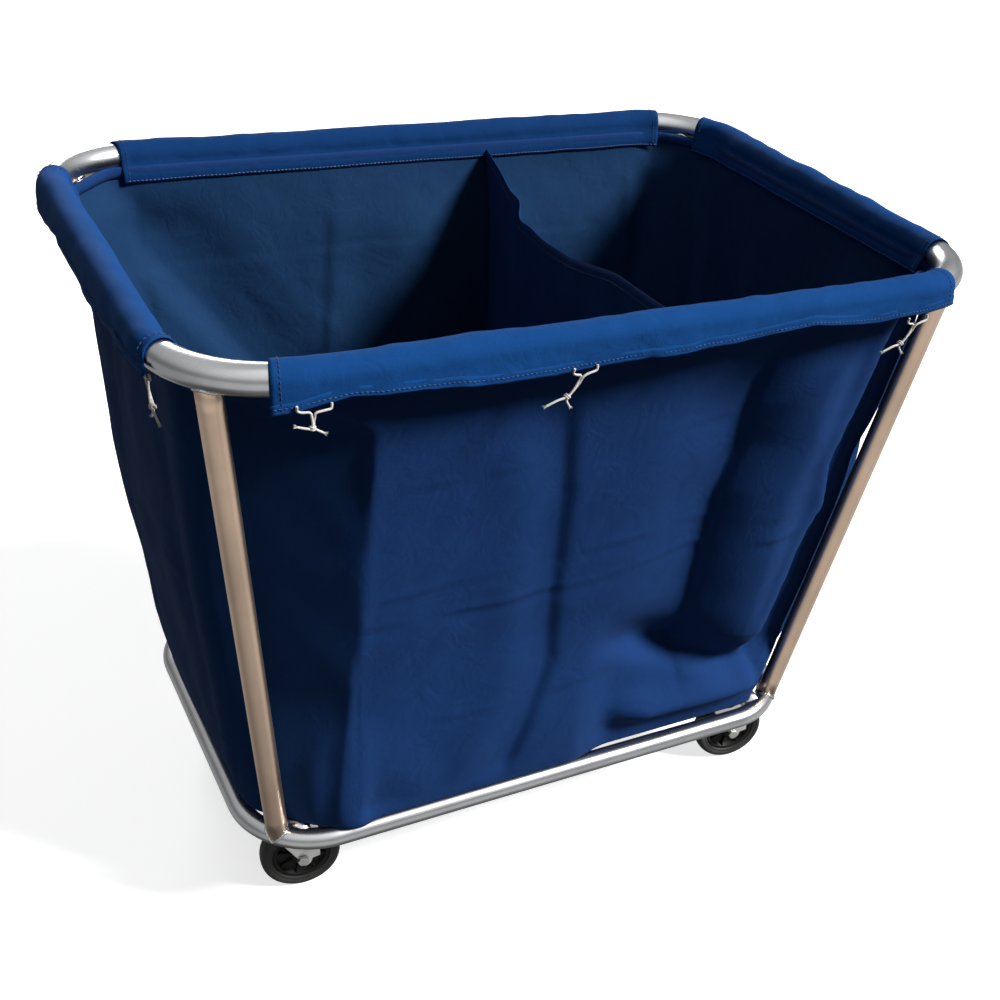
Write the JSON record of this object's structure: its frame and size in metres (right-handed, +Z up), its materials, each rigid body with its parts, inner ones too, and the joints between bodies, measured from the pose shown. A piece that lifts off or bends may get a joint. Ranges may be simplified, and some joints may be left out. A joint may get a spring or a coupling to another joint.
{
  "type": "laundry cart",
  "caption": "Tapered tubular steel cart on swivel casters, with a divided fabric bag hung from its round-cornered top rail to carry linen.",
  "frame": {"origin": "on the floor, under the middle of the cart", "axes": "+X along the long side, +Y towards the rear long side, +Z up"},
  "size_m": [0.9587, 0.6804, 0.8115],
  "materials": {
    "frame_steel": "drawn stainless tube, satin with soft long highlights",
    "caster_zinc": "bright zinc-plated pressed steel",
    "fastener": "zinc-plated",
    "tyre": "matt black rubber",
    "wheel_core": "moulded, black",
    "bag_fabric": "plain-woven synthetic cloth, navy",
    "sleeve_fabric": "plain-woven synthetic cloth, blue",
    "tie_string": "twisted off-white string"
  },
  "bodies": {
    "frame": {"top_rail": "frame_steel", "base_rail": "frame_steel", "leg_front_left": "frame_steel", "leg_front_right": "frame_steel", "leg_rear_left": "frame_steel", "leg_rear_right": "frame_steel", "base_bar_left": "frame_steel", "base_bar_middle": "frame_steel", "base_bar_right": "frame_steel", "bag_panel_front": "bag_fabric", "bag_panel_rear": "bag_fabric", "bag_panel_left": "bag_fabric", "bag_panel_right": "bag_fabric", "bag_floor": "bag_fabric", "bag_divider": "bag_fabric", "sleeve_right": "sleeve_fabric", "sleeve_rear": "sleeve_fabric", "sleeve_left": "sleeve_fabric", "sleeve_front": "sleeve_fabric", "tie_front_1": "tie_string", "tie_front_2": "tie_string", "tie_front_3": "tie_string", "tie_rear_1": "tie_string", "tie_rear_2": "tie_string", "tie_rear_3": "tie_string", "tie_left": "tie_string", "tie_right": "tie_string", "caster_stem_front_left": "caster_zinc", "caster_locknut_front_left": "fastener", "caster_stem_front_right": "caster_zinc", "caster_locknut_front_right": "fastener", "caster_stem_rear_left": "caster_zinc", "caster_locknut_rear_left": "fastener", "caster_stem_rear_right": "caster_zinc", "caster_locknut_rear_right": "fastener"},
    "swivel_front_left": {"caster_bearing_front_left": "fastener", "caster_fork_front_left": "caster_zinc", "axle_bolt_front_left": "fastener", "axle_nut_front_left": "fastener"},
    "wheel_front_left": {"wheel_hub_front_left": "wheel_core", "wheel_tyre_front_left": "tyre"},
    "swivel_front_right": {"caster_bearing_front_right": "fastener", "caster_fork_front_right": "caster_zinc", "axle_bolt_front_right": "fastener", "axle_nut_front_right": "fastener"},
    "wheel_front_right": {"wheel_hub_front_right": "wheel_core", "wheel_tyre_front_right": "tyre"},
    "swivel_rear_left": {"caster_bearing_rear_left": "fastener", "caster_fork_rear_left": "caster_zinc", "axle_bolt_rear_left": "fastener", "axle_nut_rear_left": "fastener"},
    "wheel_rear_left": {"wheel_hub_rear_left": "wheel_core", "wheel_tyre_rear_left": "tyre"},
    "swivel_rear_right": {"caster_bearing_rear_right": "fastener", "caster_fork_rear_right": "caster_zinc", "axle_bolt_rear_right": "fastener", "axle_nut_rear_right": "fastener"},
    "wheel_rear_right": {"wheel_hub_rear_right": "wheel_core", "wheel_tyre_rear_right": "tyre"}
  },
  "joints": [
    {"name": "caster_swivel_front_left", "type": "hinge", "parent": "frame", "child": "swivel_front_left", "pos_m": [-0.322, -0.148, 0.112], "axis": [0, 0, 1], "continuous": true},
    {"name": "wheel_spin_front_left", "type": "hinge", "parent": "swivel_front_left", "child": "wheel_front_left", "pos_m": [-0.30215, -0.15044, 0.05], "axis": [0.1219, 0.9925, 0], "continuous": true},
    {"name": "caster_swivel_front_right", "type": "hinge", "parent": "frame", "child": "swivel_front_right", "pos_m": [0.322, -0.148, 0.112], "axis": [0, 0, 1], "continuous": true},
    {"name": "wheel_spin_front_right", "type": "hinge", "parent": "swivel_front_right", "child": "wheel_front_right", "pos_m": [0.34175, -0.15113, 0.05], "axis": [0.1564, 0.9877, 0], "continuous": true},
    {"name": "caster_swivel_rear_left", "type": "hinge", "parent": "frame", "child": "swivel_rear_left", "pos_m": [-0.322, 0.148, 0.112], "axis": [0, 0, 1], "continuous": true},
    {"name": "wheel_spin_rear_left", "type": "hinge", "parent": "swivel_rear_left", "child": "wheel_rear_left", "pos_m": [-0.30208, 0.14626, 0.05], "axis": [0.0872, 0.9962, 0], "continuous": true},
    {"name": "caster_swivel_rear_right", "type": "hinge", "parent": "frame", "child": "swivel_rear_right", "pos_m": [0.322, 0.148, 0.112], "axis": [0, 0, 1], "continuous": true},
    {"name": "wheel_spin_rear_right", "type": "hinge", "parent": "swivel_rear_right", "child": "wheel_rear_right", "pos_m": [0.34156, 0.14384, 0.05], "axis": [0.2079, 0.9781, 0], "continuous": true}
  ]
}
